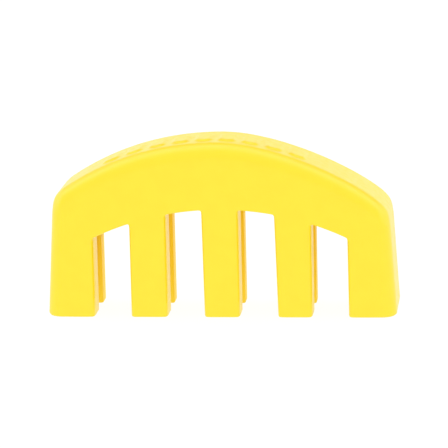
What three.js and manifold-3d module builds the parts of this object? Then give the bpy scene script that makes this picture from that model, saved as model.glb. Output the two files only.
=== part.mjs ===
// Rubber practice mute for a full-size violin, in millimetres.
//
// The mute is a thick arched comb that drops over the bridge. Four gaps clear the strings, and a
// slot that runs along the comb takes the bridge between the front and the rear legs. It is moulded
// in one piece of rubber, and it is divided here at the lines where that rubber bends: a stout crown
// and the eight legs that hang from it.
//
// Frame: +X to the right, +Y to the rear, +Z up. The origin is on the surface that the feet stand
// on, below the middle of the part.

import * as THREE from 'three';
import { mergeVertices } from 'three/addons/utils/BufferGeometryUtils.js';
import Module from 'manifold-3d';

const wasm = await Module();
wasm.setup();

// ---------------------------------------------------------------- driving dimensions

const STRING_SPACING = 11.2;

// The gaps that clear the strings, from left to right. Three of them are narrower on their left side,
// and all but the first are wider at the mouth, on their right side.
const GAP_WIDTH = 5.6;
const GAP_LEFT_INSETS = [0, 0.15, 0.15, 0.15];
const GAP_MOUTH_FLARES = [0, 0.2, 0.4, 0.1];

// Front to rear: the front legs, the bridge slot and the rear legs. The slot opens towards its mouth.
const FRONT_LEG_DEPTH = 4.9;
const SLOT_WIDTH = 4.2;
const REAR_LEG_DEPTH = 3.5;
const SLOT_MOUTH_FLARE = 0.15;
const SLOT_HALF_LENGTH = 22.9;
const DEPTH = FRONT_LEG_DEPTH + SLOT_WIDTH + REAR_LEG_DEPTH;

// The outer sides lean in towards the top.
const FOOT_HALF_WIDTH = 27.1;
const SIDE_LEAN = 0.062;
const OUTER_FOOT_RADIUS = 1;
const INNER_FOOT_RADIUS = 0.5;

// The top edge runs in one smooth sweep from shoulder to shoulder, lower on the right, as the top
// of a violin bridge does. A handle is the length of a curve's control arm.
const CREST = { x: -0.5, z: 27 };
const LEFT_SHOULDER = { x: -24, z: 20.15, slope: 33, crestHandle: 9, shoulderHandle: 8 };
const RIGHT_SHOULDER = { x: 24.4, z: 17.78, slope: 39.5, crestHandle: 8.5, shoulderHandle: 6 };
const SHOULDER_ROUND = 1.7;

// The ceiling of the gaps and of the slot is one shallow arch.
const ARCH_RADIUS = 45.5;
const ARCH_HEIGHT = 16.9;

// A leg bends just below the crown, and this is the space left there for it to turn in.
const FLEX_GAP = 0.3;

const RUBBER_COLOUR = 0xfdec48;
const RUBBER_ROUGHNESS = 0.45;
const CURVE_SEGMENTS = 20;
const CUT_MARGIN = 1;

// ---------------------------------------------------------------- places worked out from them

const FRONT = -DEPTH / 2;
const REAR = DEPTH / 2;
const SLOT_FRONT = FRONT + FRONT_LEG_DEPTH;
const SLOT_REAR = REAR - REAR_LEG_DEPTH;
const ARCH_CENTRE_Z = ARCH_HEIGHT - ARCH_RADIUS;
const LAST_GAP = GAP_MOUTH_FLARES.length - 1;
const GAPS = GAP_MOUTH_FLARES.map( ( flare, index ) => {

	const centre = ( index - LAST_GAP / 2 ) * STRING_SPACING;
	const left = centre - GAP_WIDTH / 2 + GAP_LEFT_INSETS[ index ];
	const right = centre + GAP_WIDTH / 2;
	return { left, right, rightAtMouth: right + flare };

} );
const ARCH_END_X = GAPS[ LAST_GAP ].right;
const END_ROOT_Z = archHeight( ARCH_END_X );

// The height of the arched ceiling at x.
function archHeight( x ) {

	return ARCH_CENTRE_Z + Math.sqrt( ARCH_RADIUS ** 2 - x ** 2 );

}

// How far from the middle the outer side is at height z.
function sideX( z ) {

	return FOOT_HALF_WIDTH - SIDE_LEAN * z;

}

// ---------------------------------------------------------------- from outlines to solids

// Extrudes an outline drawn in X and Z over the whole depth of the mute.
function extrudeOutline( outline ) {

	const geometry = new THREE.ExtrudeGeometry( outline, {
		depth: DEPTH,
		bevelEnabled: false,
		curveSegments: CURVE_SEGMENTS,
	} );
	const xAxis = new THREE.Vector3( 1, 0, 0 );
	const zAxis = new THREE.Vector3( 0, 0, 1 );
	const towardsFront = new THREE.Vector3( 0, -1, 0 );
	geometry.applyMatrix4( new THREE.Matrix4().makeBasis( xAxis, zAxis, towardsFront ) );
	return geometry.translate( 0, REAR, 0 );

}

// Extrudes a profile drawn in Y and Z from one x to another.
function extrudeProfile( profile, fromX, toX ) {

	const geometry = new THREE.ExtrudeGeometry( profile, { depth: toX - fromX, bevelEnabled: false } );
	const yAxis = new THREE.Vector3( 0, 1, 0 );
	const zAxis = new THREE.Vector3( 0, 0, 1 );
	const xAxis = new THREE.Vector3( 1, 0, 0 );
	geometry.applyMatrix4( new THREE.Matrix4().makeBasis( yAxis, zAxis, xAxis ) );
	return geometry.translate( fromX, 0, 0 );

}

function toSolid( geometry ) {

	geometry.deleteAttribute( 'normal' );
	geometry.deleteAttribute( 'uv' );
	const merged = mergeVertices( geometry );
	return new wasm.Manifold( new wasm.Mesh( {
		numProp: 3,
		vertProperties: merged.attributes.position.array,
		triVerts: new Uint32Array( merged.index.array ),
	} ) );

}

function toGeometry( solid ) {

	const { vertProperties, triVerts } = solid.getMesh();
	const geometry = new THREE.BufferGeometry();
	geometry.setAttribute( 'position', new THREE.BufferAttribute( vertProperties, 3 ) );
	geometry.setIndex( new THREE.BufferAttribute( triVerts, 1 ) );
	return geometry;

}

// Names a piece of rubber and stands it on the point that it turns about.
function rubberPiece( name, geometry, pivot ) {

	const material = new THREE.MeshStandardMaterial( {
		color: RUBBER_COLOUR,
		roughness: RUBBER_ROUGHNESS,
		metalness: 0,
		flatShading: true,
	} );
	const mesh = new THREE.Mesh( geometry.translate( -pivot.x, -pivot.y, -pivot.z ), material );
	mesh.name = name;
	mesh.position.copy( pivot );
	return mesh;

}

// ---------------------------------------------------------------- crown

// The point where a shoulder's straight run would meet the outer side. side is -1 or 1.
function shoulderCorner( shoulder, side ) {

	const drop = Math.tan( THREE.MathUtils.degToRad( shoulder.slope ) );
	const reach = Math.abs( shoulder.x );
	const x = ( FOOT_HALF_WIDTH - SIDE_LEAN * ( shoulder.z + drop * reach ) ) / ( 1 - SIDE_LEAN * drop );
	return { x: side * x, z: shoulder.z - drop * ( x - reach ) };

}

// The control point that leaves a shoulder along its slope, towards the crest.
function shoulderHandle( shoulder, side ) {

	const slope = THREE.MathUtils.degToRad( shoulder.slope );
	return {
		x: shoulder.x - side * shoulder.shoulderHandle * Math.cos( slope ),
		z: shoulder.z + shoulder.shoulderHandle * Math.sin( slope ),
	};

}

function crownOutline() {

	const leftCorner = shoulderCorner( LEFT_SHOULDER, -1 );
	const rightCorner = shoulderCorner( RIGHT_SHOULDER, 1 );
	const leftRise = leftCorner.z - SHOULDER_ROUND;
	const rightRise = rightCorner.z - SHOULDER_ROUND;
	const leftHandle = shoulderHandle( LEFT_SHOULDER, -1 );
	const rightHandle = shoulderHandle( RIGHT_SHOULDER, 1 );
	const archAngle = Math.acos( ARCH_END_X / ARCH_RADIUS );

	const outline = new THREE.Shape();
	outline.moveTo( -sideX( END_ROOT_Z ), END_ROOT_Z );
	outline.lineTo( -sideX( leftRise ), leftRise );
	outline.quadraticCurveTo( leftCorner.x, leftCorner.z, LEFT_SHOULDER.x, LEFT_SHOULDER.z );
	outline.bezierCurveTo(
		leftHandle.x, leftHandle.z, CREST.x - LEFT_SHOULDER.crestHandle, CREST.z, CREST.x, CREST.z,
	);
	outline.bezierCurveTo(
		CREST.x + RIGHT_SHOULDER.crestHandle, CREST.z, rightHandle.x, rightHandle.z,
		RIGHT_SHOULDER.x, RIGHT_SHOULDER.z,
	);
	outline.quadraticCurveTo( rightCorner.x, rightCorner.z, sideX( rightRise ), rightRise );
	outline.lineTo( sideX( END_ROOT_Z ), END_ROOT_Z );
	outline.lineTo( ARCH_END_X, END_ROOT_Z );
	outline.absarc( 0, ARCH_CENTRE_Z, ARCH_RADIUS, archAngle, Math.PI - archAngle, false );
	return outline;

}

function makeCrown() {

	const solid = toSolid( extrudeOutline( crownOutline() ) );
	return rubberPiece( 'crown', toGeometry( solid ), new THREE.Vector3() );

}

// ---------------------------------------------------------------- legs between the strings

// A profile between two walls, each a function of z, tall enough to pass right through the legs.
function wallProfile( frontWall, rearWall ) {

	const bottom = -CUT_MARGIN;
	const top = ARCH_HEIGHT + CUT_MARGIN;
	return new THREE.Shape( [
		new THREE.Vector2( frontWall( bottom ), bottom ),
		new THREE.Vector2( rearWall( bottom ), bottom ),
		new THREE.Vector2( rearWall( top ), top ),
		new THREE.Vector2( frontWall( top ), top ),
	] );

}

function slotFlare( z ) {

	return SLOT_MOUTH_FLARE * ( 1 - z / ARCH_HEIGHT );

}

const slotFrontWall = ( z ) => SLOT_FRONT - slotFlare( z );
const slotRearWall = ( z ) => SLOT_REAR + slotFlare( z );

const ROWS = [
	{
		name: 'front',
		profile: wallProfile( () => FRONT - CUT_MARGIN, slotFrontWall ),
		middleY: ( FRONT + SLOT_FRONT ) / 2,
	},
	{
		name: 'rear',
		profile: wallProfile( slotRearWall, () => REAR + CUT_MARGIN ),
		middleY: ( SLOT_REAR + REAR ) / 2,
	},
];
const COLUMNS = [ 'left', 'middle', 'right' ];

// The outline of the leg between a gap and the next one, with its top under the arch.
function innerLegOutline( gapBefore, gapAfter ) {

	const rootRadius = ARCH_RADIUS - FLEX_GAP;
	const rightAngle = Math.acos( gapAfter.left / rootRadius );
	const leftAngle = Math.acos( gapBefore.right / rootRadius );
	const outline = new THREE.Shape();
	outline.moveTo( gapBefore.rightAtMouth, 0 );
	outline.lineTo( gapAfter.left, 0 );
	outline.absarc( 0, ARCH_CENTRE_Z, rootRadius, rightAngle, leftAngle, false );
	return outline;

}

function makeInnerLeg( row, column ) {

	const gapBefore = GAPS[ column ];
	const gapAfter = GAPS[ column + 1 ];
	const outlineSolid = toSolid( extrudeOutline( innerLegOutline( gapBefore, gapAfter ) ) );
	const fromX = gapBefore.right - CUT_MARGIN;
	const toX = gapAfter.left + CUT_MARGIN;
	const rowSolid = toSolid( extrudeProfile( row.profile, fromX, toX ) );
	const middleX = ( gapBefore.right + gapAfter.left ) / 2;
	const pivot = new THREE.Vector3( middleX, row.middleY, archHeight( middleX ) - FLEX_GAP / 2 );
	return rubberPiece(
		`${ row.name }_${ COLUMNS[ column ] }_leg`,
		toGeometry( outlineSolid.intersect( rowSolid ) ),
		pivot,
	);

}

// ---------------------------------------------------------------- end legs

// The outline of an end leg, from its inner side to the outer side of the mute. side is -1 or 1.
function endLegOutline( side ) {

	const innerTop = side * ARCH_END_X;
	const innerFoot = side < 0 ? GAPS[ 0 ].left : GAPS[ LAST_GAP ].rightAtMouth;
	const outerFoot = side * FOOT_HALF_WIDTH;
	const top = END_ROOT_Z - FLEX_GAP;
	const outline = new THREE.Shape();
	outline.moveTo( innerTop, top );
	outline.lineTo( innerFoot, INNER_FOOT_RADIUS );
	outline.quadraticCurveTo( innerFoot, 0, innerFoot + side * INNER_FOOT_RADIUS, 0 );
	outline.lineTo( outerFoot - side * OUTER_FOOT_RADIUS, 0 );
	outline.quadraticCurveTo( outerFoot, 0, side * sideX( OUTER_FOOT_RADIUS ), OUTER_FOOT_RADIUS );
	outline.lineTo( side * sideX( top ), top );
	return outline;

}

// An end leg closes the end of the slot, so seen from below it is a U.
function makeEndLeg( name, side ) {

	const innerX = side * ( ARCH_END_X - CUT_MARGIN );
	const slotEnd = side * SLOT_HALF_LENGTH;
	const block = toSolid( extrudeOutline( endLegOutline( side ) ) );
	const slot = toSolid( extrudeProfile(
		wallProfile( slotFrontWall, slotRearWall ), Math.min( innerX, slotEnd ), Math.max( innerX, slotEnd ),
	) );
	const middleX = side * ( ARCH_END_X + sideX( END_ROOT_Z ) ) / 2;
	const pivot = new THREE.Vector3( middleX, 0, END_ROOT_Z - FLEX_GAP / 2 );
	return rubberPiece( name, toGeometry( block.subtract( slot ) ), pivot );

}

// ---------------------------------------------------------------- the whole mute

const mute = new THREE.Group();
mute.add( makeCrown() );
mute.add( makeEndLeg( 'left_end_leg', -1 ) );
mute.add( makeEndLeg( 'right_end_leg', 1 ) );
for ( const row of ROWS ) {

	for ( const column of COLUMNS.keys() ) {

		mute.add( makeInnerLeg( row, column ) );

	}

}

export default mute;
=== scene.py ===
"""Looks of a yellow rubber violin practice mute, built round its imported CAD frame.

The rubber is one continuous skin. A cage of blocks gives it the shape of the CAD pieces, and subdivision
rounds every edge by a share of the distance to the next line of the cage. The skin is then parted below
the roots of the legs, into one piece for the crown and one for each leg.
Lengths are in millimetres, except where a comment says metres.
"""

import functools
import math

import bpy
import numpy as np
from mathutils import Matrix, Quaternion, Vector


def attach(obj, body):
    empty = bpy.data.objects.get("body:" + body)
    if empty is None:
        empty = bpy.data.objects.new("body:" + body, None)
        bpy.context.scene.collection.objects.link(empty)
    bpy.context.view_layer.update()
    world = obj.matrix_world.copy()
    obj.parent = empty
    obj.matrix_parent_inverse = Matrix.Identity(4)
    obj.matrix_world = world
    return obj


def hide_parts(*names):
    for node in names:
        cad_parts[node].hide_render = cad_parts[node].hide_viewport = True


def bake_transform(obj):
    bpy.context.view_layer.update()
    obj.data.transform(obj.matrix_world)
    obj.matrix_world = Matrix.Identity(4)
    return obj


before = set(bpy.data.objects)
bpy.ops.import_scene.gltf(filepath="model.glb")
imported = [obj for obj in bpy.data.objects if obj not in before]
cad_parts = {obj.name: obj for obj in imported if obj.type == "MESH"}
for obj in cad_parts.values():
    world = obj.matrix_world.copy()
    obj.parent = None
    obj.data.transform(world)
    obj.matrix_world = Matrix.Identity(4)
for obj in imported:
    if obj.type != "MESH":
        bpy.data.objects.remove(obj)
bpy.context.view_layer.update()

MM = 0.001

# The camera is at the photograph's viewing angle, far away and with a long lens.
CAMERA_AZIMUTH = 6.14
CAMERA_ELEVATION = 12.14
CAMERA_ROLL = 1.32
CAMERA_DISTANCE = 457
CAMERA_LENS = 236.5
CAMERA_SENSOR = 36
CAMERA_TARGET = Vector((0.14, 0, 13.41))
# In metres.
CAMERA_CLIP = (0.01, 20)

# A white tent stands on a light table, which leaves no shadow. A bright band crosses the tent overhead.
TENT_COLOUR = (1, 0.92, 0.9, 1)
TENT_FRONT, TENT_REAR = 1.15, 1.3
TENT_FRONT_ABOVE, TENT_BAND, TENT_REAR_ABOVE = 0.93, 2.2, 0.3
# Each pair is where one part of the tent starts and ends turning into the next: the upward part of a
# direction for the first, and its rearward part for the others.
TENT_UPWARDS = (0.2, 0.6)
TENT_FRONT_TO_REAR = (-0.3, 0.3)
TENT_BAND_RISE, TENT_BAND_FALL = (-0.2, 0.25), (0.32, 0.65)
# In metres.
FLOOR_HALF_WIDTH = 3.0
FLOOR_COLOUR = (0.1, 0.1, 0.1, 1)
FLOOR_ROUGHNESS = 0.9
FLOOR_SPECULAR = 0.1
GLOW_COLOUR = (1, 1, 1, 1)
FLOOR_GLOW = 0.93

# The rubber's colour is mottled from the first to the second. On rounded edges it is paler, partly from wear
# and partly as a painted highlight. The slot, the top and the sides have painted shade.
YELLOW = (1.0, 0.825, 0.008, 1)
YELLOW_DEEP = (1.0, 0.81, 0.006, 1)
YELLOW_WORN_AND_HIGHLIT = (1.0, 0.81, 0.02, 1)
YELLOW_SLOT_SHADE = (1.0, 0.75, 0.003, 1)
YELLOW_RIM_SHADE = (1.0, 0.745, 0.006, 1)
RUBBER_IOR = 1.62
ROUGHNESS_RANGE = (0.30, 0.38)
INNER_ROUGHNESS = 0.55
# The noises' scales are per millimetre, and the grain's depth is in metres. The limits are the values
# between which a look comes in.
CLOUD_SCALE, CLOUD_DETAIL, CLOUD_LIMITS = 0.35, 3, (0.35, 0.65)
SHEEN_SCALE, SHEEN_DETAIL, SHEEN_LIMITS = 1.1, 4, (0.3, 0.7)
GRAIN_SCALE, GRAIN_DETAIL = 5.0, 5
GRAIN_STRENGTH, GRAIN_DEPTH = 0.3, 0.000003
# Rounded edges are paler, partly from wear and partly as a painted highlight.
WEAR_AND_HIGHLIGHT_LIMITS, WEAR_AND_HIGHLIGHT_SHARE = (0.15, 0.9), 0.5

# The driving dimensions of the CAD model, which the skin shares.
FRONT, REAR = -6.3, 6.3
SLOT_FRONT, SLOT_REAR = -1.4, 2.8
SLOT_MOUTH_FLARE = 0.15
SLOT_HALF_LENGTH = 22.9
FOOT_HALF_WIDTH = 27.1
ARCH_RADIUS, ARCH_HEIGHT, ARCH_END = 45.5, 16.9, 19.6
GAP_CENTRES = (-16.8, -5.6, 5.6, 16.8)
GAP_HALF_WIDTH = 2.8
GAP_LEFT_INSETS = (0, 0.15, 0.15, 0.15)
GAP_MOUTH_FLARES = (0, 0.2, 0.4, 0.1)
END_ROOT = 12.46

# How far the cage's next line is from an edge, which sets how round the edge gets.
SMALL_EDGE = 0.5
LEG_EDGE = 0.7
FOOT_CORNER = 0.25
OUTER_FOOT_CORNER = 0.6
SIDE_EDGE = 1.7
FRONT_TOP_EDGE = 2.2
REAR_TOP_EDGE = 1.1
# How far the cage's own edge is drawn in towards its neighbours, where the front is well rounded.
FRONT_CUT = 0.36
LEG_CUT = 0.3
# The direction in which a shoulder sticks out furthest, above the horizontal.
SHOULDER_DIRECTION = math.radians(28)

# Cage cells from the side to the end of the slot, along the slot in an end leg, and across a gap or leg.
SIDE_CELLS, SLOT_END_CELLS, SPAN_CELLS = 5, 4, 6
FRONT_CELLS, SLOT_CELLS, REAR_CELLS = 5, 4, 4
LEG_CELLS, CROWN_CELLS = 14, 8
# A leg's skin ends this many cells below the ceiling.
PART_CELLS = 2
SUBDIVISION = 2
# A border between parts whose height varies by less than this is closed by one flat face.
FLAT_BORDER = 0.001
# The silhouette's outer points are the crown's that are this far above the ends' root and the ceiling.
ABOVE_ROOT, ABOVE_CEILING = 0.05, 1
SAME_FACE = 0.01
# Rounds of correction that bring the smooth outline onto the silhouette.
OUTLINE_ROUNDS = 3

# How quickly the skin takes the painted shade of the top and sides where it turns away from the front and
# rear, and how far it is from the ceiling or the slot's end where that begins.
RIM_SHARPNESS = 1.5
RIM_MARGIN = 1
# How far, in small edges, the slot's painted shade reaches past the ceiling and the ends of the slot.
INNER_ABOVE, INNER_BEYOND = 1.2, 0.5

# The pads that stand in for the raised lettering on the top.
PAD_CENTRES = tuple(-17.0 + 3.6 * n for n in range(9))
PAD_DEPTH_CENTRE = 0.4
PAD_HALF_SIZE = (1.2, 2.6)
PAD_CORNER = 1.0
PAD_FLANK = 0.6
PAD_HEIGHT = 0.25
# Only skin that faces upwards, and is this far above the ceiling's top, is raised.
PAD_UPWARDS, PAD_ABOVE = 0.5, 1

# What is below the ceiling in each span, from the left side to the right one.
SPANS = (
    "left_end", "left_end", "gap", "left", "gap", "middle", "gap", "right", "gap", "right_end", "right_end"
)


# ------------------------------------------------------------------ camera, light and floor


def make_camera():
    azimuth, elevation = math.radians(CAMERA_AZIMUTH), math.radians(CAMERA_ELEVATION)
    back = Vector((
        math.sin(azimuth) * math.cos(elevation),
        -math.cos(azimuth) * math.cos(elevation),
        math.sin(elevation),
    ))
    data = bpy.data.cameras.new("camera")
    data.lens = CAMERA_LENS
    data.sensor_width = CAMERA_SENSOR
    data.clip_start, data.clip_end = CAMERA_CLIP
    camera = bpy.data.objects.new("camera", data)
    camera.rotation_mode = "QUATERNION"
    aim = (-back).to_track_quat("-Z", "Y")
    camera.rotation_quaternion = aim @ Quaternion((0, 0, 1), -math.radians(CAMERA_ROLL))
    camera.location = (CAMERA_TARGET + back * CAMERA_DISTANCE) * MM
    bpy.context.scene.collection.objects.link(camera)
    bpy.context.scene.camera = camera


def smooth_ramp(tree, source, limits, start, end):
    """A value that goes smoothly from start to end as the source crosses the limits. Both may be sockets."""
    made = tree.nodes.new("ShaderNodeMapRange")
    made.interpolation_type = "SMOOTHSTEP"
    tree.links.new(source, made.inputs["Value"])
    for name, value in zip(("From Min", "From Max", "To Min", "To Max"), (*limits, start, end)):
        if isinstance(value, (int, float)):
            made.inputs[name].default_value = value
        else:
            tree.links.new(value, made.inputs[name])
    return made.outputs["Result"]


def make_tent():
    """A white tent, brightest in a band overhead and dimmest behind that band."""
    world = bpy.data.worlds.new("tent")
    world.use_nodes = True
    nodes, links = world.node_tree.nodes, world.node_tree.links
    ramp = functools.partial(smooth_ramp, world.node_tree)
    direction = nodes.new("ShaderNodeTexCoord")
    split = nodes.new("ShaderNodeSeparateXYZ")
    links.new(direction.outputs["Generated"], split.inputs["Vector"])
    rearwards, upwards = split.outputs["Y"], split.outputs["Z"]
    band = ramp(rearwards, TENT_BAND_RISE, TENT_FRONT_ABOVE, TENT_BAND)
    above = ramp(rearwards, TENT_BAND_FALL, band, TENT_REAR_ABOVE)
    around = ramp(rearwards, TENT_FRONT_TO_REAR, TENT_FRONT, TENT_REAR)
    links.new(ramp(upwards, TENT_UPWARDS, around, above), nodes["Background"].inputs["Strength"])
    nodes["Background"].inputs["Color"].default_value = TENT_COLOUR
    bpy.context.scene.world = world


def make_stage():
    scene = bpy.context.scene
    scene.view_settings.view_transform = "Standard"
    make_tent()

    mesh = bpy.data.meshes.new("floor")
    half = FLOOR_HALF_WIDTH
    mesh.from_pydata(
        [(-half, -half, 0), (half, -half, 0), (half, half, 0), (-half, half, 0)], [], [(0, 1, 2, 3)]
    )
    floor = bpy.data.objects.new("floor", mesh)
    scene.collection.objects.link(floor)
    material = bpy.data.materials.new("light_table")
    material.use_nodes = True
    shader = material.node_tree.nodes["Principled BSDF"]
    shader.inputs["Base Color"].default_value = FLOOR_COLOUR
    shader.inputs["Roughness"].default_value = FLOOR_ROUGHNESS
    shader.inputs["Specular IOR Level"].default_value = FLOOR_SPECULAR
    shader.inputs["Emission Color"].default_value = GLOW_COLOUR
    shader.inputs["Emission Strength"].default_value = FLOOR_GLOW
    mesh.materials.append(material)


# ------------------------------------------------------------------ shape of the skin's cage


def arch(x):
    """Height of the ceiling of the gaps and the slot, level beyond the last gap."""
    x = np.minimum(np.abs(x), ARCH_END)
    return ARCH_HEIGHT - ARCH_RADIUS + np.sqrt(ARCH_RADIUS**2 - x**2)


def rungs(low, high, first, last, cells):
    """Stations from low to high, whose first and last steps are given and whose other steps are even."""
    return np.concatenate([[low], np.linspace(low + first, high - last, cells - 1), [high]])


def silhouette():
    """The outline as (x, z) rows, from the left foot over the top to the right foot."""
    points = np.array([v.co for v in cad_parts["crown"].data.vertices]) / MM
    points = np.unique(points[points[:, 1] < FRONT + SAME_FACE][:, [0, 2]].round(4), axis=0)
    above_root = points[:, 1] > END_ROOT + ABOVE_ROOT
    above_ceiling = points[:, 1] > arch(points[:, 0]) + ABOVE_CEILING
    outer = points[above_root & above_ceiling]
    outer = outer[np.argsort(outer[:, 0])]
    return np.vstack([[-FOOT_HALF_WIDTH, 0], outer, [FOOT_HALF_WIDTH, 0]])


class Outline:
    """Points on the silhouette by how far along it they are."""

    def __init__(self):
        self.points = silhouette()
        steps = np.linalg.norm(np.diff(self.points, axis=0), axis=1)
        self.along = np.concatenate([[0], np.cumsum(steps)])

    def at(self, along):
        return np.stack([np.interp(along, self.along, self.points[:, c]) for c in (0, 1)], axis=-1)

    def over(self, x):
        """How far along the top the outline is over x."""
        return np.interp(x, self.points[:, 0], self.along)

    def shoulder(self, side):
        """How far along the outline a side's shoulder is. Side is -1 for the left and 1 for the right."""
        direction = np.array([side * math.cos(SHOULDER_DIRECTION), math.sin(SHOULDER_DIRECTION)])
        return self.along[np.argmax(self.points @ direction)]

    def beside(self, side, z):
        """How far along the outline is on a side, at a height."""
        half = self.points[:, 0] * side > FOOT_HALF_WIDTH / 2
        order = np.argsort(self.points[half][:, 1])
        return np.interp(z, self.points[half][order, 1], self.along[half][order])


def span_edges(mouth):
    """The x of each border between spans but the sides. Mouth is 0 at the ceiling and 1 at the feet."""
    edges = [-SLOT_HALF_LENGTH]
    for centre, inset, flare in zip(GAP_CENTRES, GAP_LEFT_INSETS, GAP_MOUTH_FLARES):
        edges += [centre - GAP_HALF_WIDTH + inset, centre + GAP_HALF_WIDTH + flare * mouth]
    return edges + [SLOT_HALF_LENGTH]


def cells_across():
    """How many cells wide each span is."""
    return [SIDE_CELLS, SLOT_END_CELLS] + [SPAN_CELLS] * 7 + [SLOT_END_CELLS, SIDE_CELLS]


def columns_at(left, right, mouth):
    """The x of the cage's columns between the two sides."""
    edges = [left] + span_edges(mouth) + [right]
    across = cells_across()
    found = [np.array([left])]
    for n, cells in enumerate(across):
        inner = SMALL_EDGE if SPANS[n] == "gap" else LEG_EDGE
        first = SIDE_EDGE if n == 0 else inner
        last = SIDE_EDGE if n == len(across) - 1 else inner
        found.append(rungs(edges[n], edges[n + 1], first, last, cells)[1:])
    return np.concatenate(found)


def through(points):
    """Points moved squarely outwards, so that the smooth curve they shape passes where they were."""
    along = points[2:] - points[:-2]
    along = along / np.linalg.norm(along, axis=1, keepdims=True)
    moved = points.copy()
    # Subdivision moves each point by a sixth of its steps to both neighbours.
    for _ in range(OUTLINE_ROUNDS):
        miss = points[1:-1] - (moved[:-2] + 4 * moved[1:-1] + moved[2:]) / 6
        moved[1:-1] += miss - (miss * along).sum(axis=1, keepdims=True) * along
    return moved


def leg_plan(outline):
    """The (x, z) of the cage's points by column and row, from the feet to the ceiling."""
    (left_end, left_top), (right_end, right_top) = outline.points[[1, -2]]
    ceiling = arch(columns_at(left_end, right_end, 0))
    last, middle = len(ceiling) - 1, len(ceiling) // 2
    x, z = np.zeros((2, len(ceiling), LEG_CELLS + 1))
    for i, height in enumerate(ceiling):
        z[i] = rungs(0, height, FOOT_CORNER, SMALL_EDGE, LEG_CELLS)
        share = max(0, 1 - min(i, last - i) / SIDE_CELLS)
        foot = FOOT_CORNER + share * (OUTER_FOOT_CORNER - FOOT_CORNER)
        z[i, 1:3] = foot, (foot + z[i, 3]) / 2
    for k in range(LEG_CELLS + 1):
        left = np.interp(z[0, k], (0, left_top), (-FOOT_HALF_WIDTH, left_end))
        right = np.interp(z[-1, k], (0, right_top), (FOOT_HALF_WIDTH, right_end))
        x[:, k] = columns_at(left, right, 1 - z[middle, k] / ceiling[middle])
    return np.stack([x, z], axis=-1)


def crown_plan(outline, ceiling, top_edge):
    """The (x, z) of the cage's points by column and row, from the ceiling's points to the outline."""
    left, right = outline.shoulder(-1), outline.shoulder(1)
    top = outline.over(ceiling[:, 0])
    top[: SIDE_CELLS + 1] = rungs(left, top[SIDE_CELLS], SIDE_EDGE, SMALL_EDGE, SIDE_CELLS)
    top[-1 - SIDE_CELLS :] = rungs(top[-1 - SIDE_CELLS], right, SMALL_EDGE, SIDE_EDGE, SIDE_CELLS)
    plan = np.zeros((len(ceiling), CROWN_CELLS + 1, 2))
    for i, target in enumerate(outline.at(top)):
        height = rungs(0, target[1] - ceiling[i, 1], SMALL_EDGE, top_edge, CROWN_CELLS)
        plan[i] = ceiling[i] + (height / height[-1])[:, None] * (target - ceiling[i])
    for column, side, corner in ((plan[0], -1, left), (plan[-1], 1, right)):
        start = outline.beside(side, column[0, 1])
        share = (column[:, 1] - column[0, 1]) / (column[-1, 1] - column[0, 1])
        column[:] = outline.at(start + share * (corner - start))
    return plan


def cage_plan(top_edge):
    """The (x, z) of the cage's points by column and row, with top_edge between the two highest rows."""
    outline = Outline()
    legs = leg_plan(outline)
    plan = np.concatenate([legs[:, :-1], crown_plan(outline, legs[:, -1], top_edge)], axis=1)
    last = len(plan) - 1
    up = np.arange(LEG_CELLS, plan.shape[1])
    columns = np.concatenate([0 * up, np.arange(1, last), 0 * up + last])
    rows = np.concatenate([up, np.full(last - 1, up[-1]), up[::-1]])
    plan[columns, rows] = through(plan[columns, rows])
    return plan


def depths(front_edge, rear_edge, mouth):
    """The cage's stations from the front face to the rear one."""
    slot_front, slot_rear = SLOT_FRONT - SLOT_MOUTH_FLARE * mouth, SLOT_REAR + SLOT_MOUTH_FLARE * mouth
    front = rungs(FRONT, slot_front, front_edge, SMALL_EDGE, FRONT_CELLS)
    slot = rungs(slot_front, slot_rear, SMALL_EDGE, SMALL_EDGE, SLOT_CELLS)
    rear = rungs(slot_rear, REAR, SMALL_EDGE, rear_edge, REAR_CELLS)
    return np.concatenate([front, slot[1:], rear[1:]])


def drawn_in(points):
    """The cage's points, with its front edge drawn in over the top, at the sides and round the legs."""
    cut = points.copy()
    cut[:, 0, -1] += FRONT_CUT * (points[:, 0, -2] + points[:, 1, -1] - 2 * points[:, 0, -1])
    for side, inner in ((0, 1), (-1, -2)):
        cut[side, 0] += FRONT_CUT * (points[inner, 0] + points[side, 1] - 2 * points[side, 0])
    # The leg is to the left of each gap's first wall, and to the right of its second one.
    walls = np.cumsum(cells_across())[1:-2]
    for wall, inner in zip(walls, walls + np.resize((-1, 1), len(walls))):
        edge = points[wall, 0, :LEG_CELLS]
        beside = points[inner, 0, :LEG_CELLS] + points[wall, 1, :LEG_CELLS]
        cut[wall, 0, :LEG_CELLS] += LEG_CUT * (beside - 2 * edge)
    return cut


def cage_points():
    """The cage's points by column, depth and row."""
    plan = cage_plan(FRONT_TOP_EDGE)
    columns, rows = plan.shape[:2]
    points = np.zeros((columns, FRONT_CELLS + SLOT_CELLS + REAR_CELLS + 1, rows, 3))
    points[..., ::2] = plan[:, None]
    for i in range(columns):
        for k in range(rows):
            edge = SIDE_EDGE if i in (0, columns - 1) else LEG_EDGE
            edges = (edge, LEG_EDGE) if k < rows - 1 else (FRONT_TOP_EDGE, REAR_TOP_EDGE)
            mouth = max(0, 1 - plan[i, k, 1] / plan[i, LEG_CELLS, 1])
            points[i, :, k, 1] = depths(*edges, mouth)
    points[:, -1, :, ::2] = cage_plan(REAR_TOP_EDGE)
    return drawn_in(points)


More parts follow.
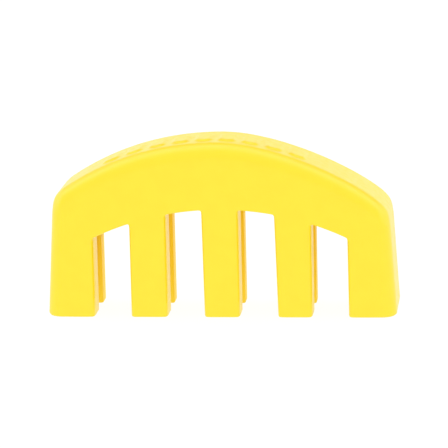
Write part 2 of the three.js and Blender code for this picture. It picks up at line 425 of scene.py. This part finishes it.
def part_of_cells(shape):
    """The part that each of the cage's cells is in, or an empty name where there is no rubber."""
    columns, layers, rows = (n - 1 for n in shape[:3])
    span = [SPANS[n] for n, cells in enumerate(cells_across()) for _ in range(cells)]
    parts = np.full((columns, layers, rows), "crown", dtype=object)
    for i in range(columns):
        closed = i < SIDE_CELLS or i >= columns - SIDE_CELLS
        for j in range(layers):
            front, rear = j < FRONT_CELLS, j >= FRONT_CELLS + SLOT_CELLS
            if span[i] == "gap" or not (front or rear or closed):
                parts[i, j, :LEG_CELLS] = ""
            elif span[i].endswith("end"):
                parts[i, j, : LEG_CELLS - PART_CELLS] = span[i] + "_leg"
            else:
                place = "front" if front else "rear"
                parts[i, j, : LEG_CELLS - PART_CELLS] = f"{place}_{span[i]}_leg"
    return parts


def make_cage(names):
    """The cage as a mesh object, each of whose faces has the number of its part in names."""
    points = cage_points()
    parts = np.pad(part_of_cells(points.shape), 1, constant_values="")
    index, faces, numbers = {}, [], []
    square = ((0, 0), (1, 0), (1, 1), (0, 1))
    for cell in zip(*np.nonzero(parts != "")):
        for axis in range(3):
            for step in (-1, 1):
                beside = list(cell)
                beside[axis] += step
                if parts[tuple(beside)] != "":
                    continue
                corners = []
                for a, b in square if step == 1 else reversed(square):
                    corner = [c - 1 for c in cell]
                    corner[axis] += step == 1
                    corner[(axis + 1) % 3] += a
                    corner[(axis + 2) % 3] += b
                    corners.append(index.setdefault(tuple(corner), len(index)))
                faces.append(corners)
                numbers.append(names.index(parts[cell]))
    mesh = bpy.data.meshes.new("cage")
    mesh.from_pydata([points[corner] for corner in index], [], faces)
    mesh.attributes.new("part", "INT", "FACE").data.foreach_set("value", numbers)
    cage = bpy.data.objects.new("cage", mesh)
    bpy.context.scene.collection.objects.link(cage)
    return cage


# ------------------------------------------------------------------ skin


def subdivided(cage):
    """The cage's smooth skin as a mesh. The cage goes."""
    smooth = cage.modifiers.new("smooth", "SUBSURF")
    smooth.levels = smooth.render_levels = SUBDIVISION
    graph = bpy.context.evaluated_depsgraph_get()
    mesh = bpy.data.meshes.new_from_object(cage.evaluated_get(graph))
    bpy.data.objects.remove(cage)
    mesh.polygons.foreach_set("use_smooth", [True] * len(mesh.polygons))
    return mesh


def read(items, name, width, kind=np.float64):
    """A property of all of a mesh's items, with width numbers for each."""
    values = np.zeros(len(items) * width, kind)
    items.foreach_get(name, values)
    return values.reshape(-1, width) if width > 1 else values


def bend_of_surface(points, normals, edges):
    """How sharply the skin is rounded at each point: above 0 on outer edges and below 0 in inner corners."""
    total, count = np.zeros(len(points)), np.zeros(len(points))
    for a, b in ((0, 1), (1, 0)):
        step = points[edges[:, a]] - points[edges[:, b]]
        bend = (step * normals[edges[:, a]]).sum(1) / (step**2).sum(1)
        np.add.at(total, edges[:, a], bend)
        np.add.at(count, edges[:, a], 1)
    return total / count


def slot_shade_share(points):
    """Where the slot's painted shade and rougher finish go: 1 in the slot and on the walls behind it, and 0
    on the outside and the front legs.
    """
    x, y, z = points.T
    depth = np.minimum(y - SLOT_FRONT + SMALL_EDGE, REAR - LEG_EDGE / 2 - y) / SMALL_EDGE
    below = (arch(x) - z) / SMALL_EDGE + INNER_ABOVE
    between = (SLOT_HALF_LENGTH - np.abs(x)) / SMALL_EDGE + INNER_BEYOND
    return np.clip(np.minimum(np.minimum(depth, below), between), 0, 1)


def rim_shade_share(points, normals):
    """Where the painted shade of the top and outer sides goes: 1 on the top and the outer sides, and 0 on
    the front and rear faces and round the gaps.
    """
    outside = np.maximum(points[:, 2] - arch(points[:, 0]), np.abs(points[:, 0]) - SLOT_HALF_LENGTH)
    turned = np.minimum(RIM_SHARPNESS * (1 - np.abs(normals[:, 1])), 1)
    return turned * np.clip(outside - RIM_MARGIN, 0, 1)


def raise_pads(mesh):
    """A row of plain oblong pads stands a little proud of the top."""
    points, normals = read(mesh.vertices, "co", 3), read(mesh.vertices, "normal", 3)
    across = points[:, :1] - np.array(PAD_CENTRES)
    across = across[np.arange(len(points)), np.abs(across).argmin(axis=1)]
    beyond = np.stack([np.abs(across), np.abs(points[:, 1] - PAD_DEPTH_CENTRE)], axis=-1)
    beyond = beyond - (np.array(PAD_HALF_SIZE) - PAD_CORNER)
    outside = np.linalg.norm(np.maximum(beyond, 0), axis=1) + np.minimum(beyond.max(axis=1), 0) - PAD_CORNER
    # Half of the flank is outside the pad's outline.
    share = np.clip(0.5 - outside / PAD_FLANK, 0, 1)
    share = share**2 * (3 - 2 * share)
    share[(normals[:, 2] < PAD_UPWARDS) | (points[:, 2] < ARCH_HEIGHT + PAD_ABOVE)] = 0
    points += normals * share[:, None] * PAD_HEIGHT
    mesh.vertices.foreach_set("co", points.ravel())
    mesh.update()


def border_loops(faces):
    """The open borders of some faces, each as a list of points that closes them."""
    sides = {(f[n - 1], f[n]) for f in faces for n in range(len(f))}
    following = {b: a for a, b in sides if (b, a) not in sides}
    loops = []
    while following:
        start, point = next(iter(following.items()))
        del following[start]
        loop = [start]
        while point != start:
            loop.append(point)
            point = following.pop(point)
        loops.append(loop)
    return loops


def caps_of(loops, points):
    """Faces that close some borders, with the extra points in their middles that curved borders need."""
    faces, hubs = [], []
    for loop in loops:
        if np.ptp(points[loop, 2]) < FLAT_BORDER:
            faces.append(loop)
            continue
        hub = len(points) + len(hubs)
        hubs.append(points[loop].mean(axis=0))
        faces += [[loop[n - 1], loop[n], hub] for n in range(len(loop))]
    return faces, np.array(hubs).reshape(-1, 3)


def make_part(name, skin, chosen, material):
    """One part of the skin as a closed piece, with the whole skin's shading up to its borders."""
    faces = skin["faces"][chosen]
    used, local = np.unique(faces, return_inverse=True)
    place, local = skin["points"][used], local.reshape(faces.shape)
    caps, hubs = caps_of(border_loops(local.tolist()), place)
    mesh = bpy.data.meshes.new(name)
    place = np.vstack([place, hubs])
    mesh.from_pydata(place * MM, [], local.tolist() + caps)
    mesh.polygons.foreach_set("use_smooth", [True] * len(faces) + [False] * len(caps))
    flat = [tuple(p.normal) for p in mesh.polygons[len(faces) :] for _ in p.vertices]
    mesh.normals_split_custom_set(skin["normals"][faces.ravel()].tolist() + flat)
    values = place.astype(np.float32).ravel()
    mesh.attributes.new("skin_place", "FLOAT_VECTOR", "POINT").data.foreach_set("vector", values)
    # Attributes for the edges' wear and painted highlight, and for the painted shade in the slot and on the
    # top and sides.
    for share in ("edge_bend", "inner", "rim_shade"):
        values = np.append(skin[share][used], np.zeros(len(hubs))).astype(np.float32)
        mesh.attributes.new(share, "FLOAT", "POINT").data.foreach_set("value", values)
    mesh.materials.append(material)
    piece = bpy.data.objects.new(name, mesh)
    bpy.context.scene.collection.objects.link(piece)
    return piece


def make_skin(material):
    names = list(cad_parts)
    mesh = subdivided(make_cage(names))
    raise_pads(mesh)
    points, edges = read(mesh.vertices, "co", 3), read(mesh.edges, "vertices", 2, np.int32)
    normals = read(mesh.vertices, "normal", 3)
    skin = {
        "points": points,
        "faces": read(mesh.loops, "vertex_index", 1, np.int32).reshape(-1, 4),
        "normals": normals,
        "edge_bend": bend_of_surface(points, normals, edges),
        "inner": slot_shade_share(points),
        "rim_shade": rim_shade_share(points, normals),
    }
    part = read(mesh.attributes["part"].data, "value", 1, np.int32)
    for number, name in enumerate(names):
        piece = make_part(name + "_skin", skin, np.nonzero(part == number)[0], material)
        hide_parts(name)
        if name == "crown":
            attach(piece, "crown")
            continue
        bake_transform(piece)


# ------------------------------------------------------------------ material


def rubber_material():
    material = bpy.data.materials.new("yellow_rubber")
    material.use_nodes = True
    nodes, links = material.node_tree.nodes, material.node_tree.links
    shader = nodes["Principled BSDF"]
    ramp = functools.partial(smooth_ramp, material.node_tree)

    def node(kind, **settings):
        made = nodes.new("ShaderNode" + kind)
        for name, value in settings.items():
            setattr(made, name, value)
        return made

    def noise(scale, detail):
        made = node("TexNoise")
        links.new(place.outputs["Vector"], made.inputs["Vector"])
        made.inputs["Scale"].default_value = scale
        made.inputs["Detail"].default_value = detail
        return made.outputs["Fac"]

    def mixed(share, a, b):
        made = node("Mix", data_type="RGBA")
        links.new(share, made.inputs["Factor"])
        for socket, colour in (("A", a), ("B", b)):
            socket = next(i for i in made.inputs if i.name == socket and i.type == "RGBA")
            if isinstance(colour, tuple):
                socket.default_value = colour
            else:
                links.new(colour, socket)
        return next(o for o in made.outputs if o.type == "RGBA")

    place = node("Attribute", attribute_name="skin_place")
    bend = node("Attribute", attribute_name="edge_bend")
    inner = node("Attribute", attribute_name="inner")
    rim_shade = node("Attribute", attribute_name="rim_shade")
    cloud = ramp(noise(CLOUD_SCALE, CLOUD_DETAIL), CLOUD_LIMITS, 0, 1)
    colour = mixed(cloud, YELLOW, YELLOW_DEEP)
    # Rounded edges are paler, partly from wear and partly as a painted highlight.
    worn_and_highlit = ramp(bend.outputs["Fac"], WEAR_AND_HIGHLIGHT_LIMITS, 0, WEAR_AND_HIGHLIGHT_SHARE)
    colour = mixed(worn_and_highlit, colour, YELLOW_WORN_AND_HIGHLIT)
    # Painted shade on the top and outer sides, where they turn away from the front and rear.
    colour = mixed(rim_shade.outputs["Fac"], colour, YELLOW_RIM_SHADE)
    # Painted shade in the slot.
    colour = mixed(inner.outputs["Fac"], colour, YELLOW_SLOT_SHADE)
    links.new(colour, shader.inputs["Base Color"])
    shader.inputs["IOR"].default_value = RUBBER_IOR
    sheen = ramp(noise(SHEEN_SCALE, SHEEN_DETAIL), SHEEN_LIMITS, *ROUGHNESS_RANGE)
    links.new(ramp(inner.outputs["Fac"], (0, 1), sheen, INNER_ROUGHNESS), shader.inputs["Roughness"])

    grain = node("Bump")
    grain.inputs["Strength"].default_value = GRAIN_STRENGTH
    grain.inputs["Distance"].default_value = GRAIN_DEPTH
    links.new(noise(GRAIN_SCALE, GRAIN_DETAIL), grain.inputs["Height"])
    links.new(grain.outputs["Normal"], shader.inputs["Normal"])
    return material


make_camera()
make_stage()
make_skin(rubber_material())
